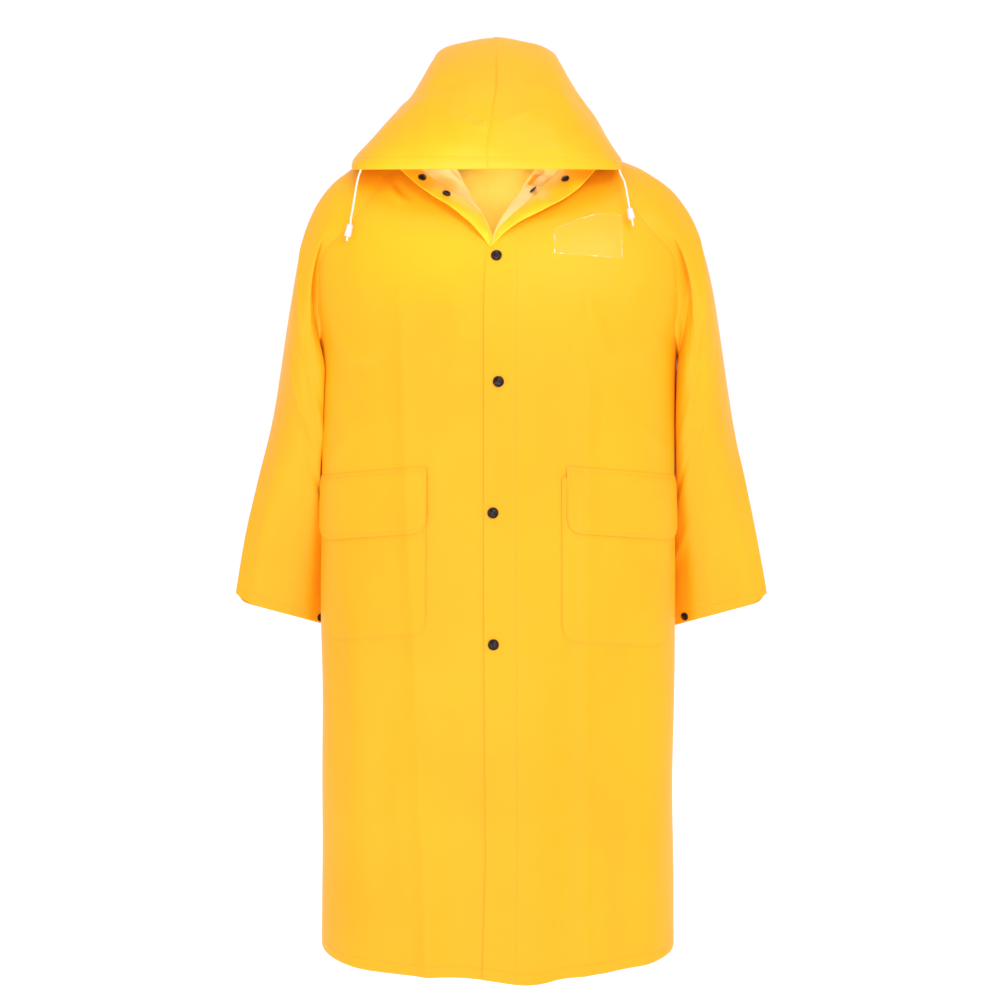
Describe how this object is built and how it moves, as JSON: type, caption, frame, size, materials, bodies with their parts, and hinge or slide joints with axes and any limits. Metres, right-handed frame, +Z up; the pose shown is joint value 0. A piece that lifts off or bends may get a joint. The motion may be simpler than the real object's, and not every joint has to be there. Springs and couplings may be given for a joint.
{
  "type": "hooded raincoat",
  "caption": "Long hooded raincoat of yellow coated cloth with raglan sleeves, snap front, turned-open neck, flap pockets, a clear chest pocket and a corded hood.",
  "frame": {"origin": "middle of the neck at the height of the shoulders, where the wearer holds the coat up", "axes": "+Z up, -Y out of the coat's front, +X towards its wearer's left side"},
  "size_m": [0.803, 0.2889, 1.3865],
  "materials": {
    "coated_cloth": "yellow vinyl coating, satin",
    "cloth_backing": "uncoated woven backing, matt",
    "clear_vinyl": "clear, glossy",
    "snap_metal": "blackened metal",
    "white_cord": "braided, matt",
    "white_plastic": "moulded, satin"
  },
  "bodies": {
    "root": {"back": "coated_cloth", "front_right": "coated_cloth", "front_left": "coated_cloth", "facing_right": "coated_cloth", "facing_left": "coated_cloth", "sleeve_right": "coated_cloth", "sleeve_left": "coated_cloth", "hood_right": "coated_cloth", "hood_left": "coated_cloth", "pocket_right": "coated_cloth", "pocket_left": "coated_cloth", "flap_right": "coated_cloth", "flap_left": "coated_cloth", "lapel_right": "cloth_backing", "lapel_left": "cloth_backing", "id_pocket": "clear_vinyl", "snap_front_1": "snap_metal", "snap_front_2": "snap_metal", "snap_front_3": "snap_metal", "snap_front_4": "snap_metal", "snap_neck_1": "snap_metal", "snap_neck_2": "snap_metal", "snap_neck_3": "snap_metal", "snap_neck_4": "snap_metal", "snap_cuff_right": "snap_metal", "snap_cuff_left": "snap_metal", "cord_right": "white_cord", "cord_left": "white_cord", "toggle_right": "white_plastic", "toggle_left": "white_plastic"}
  },
  "joints": []
}
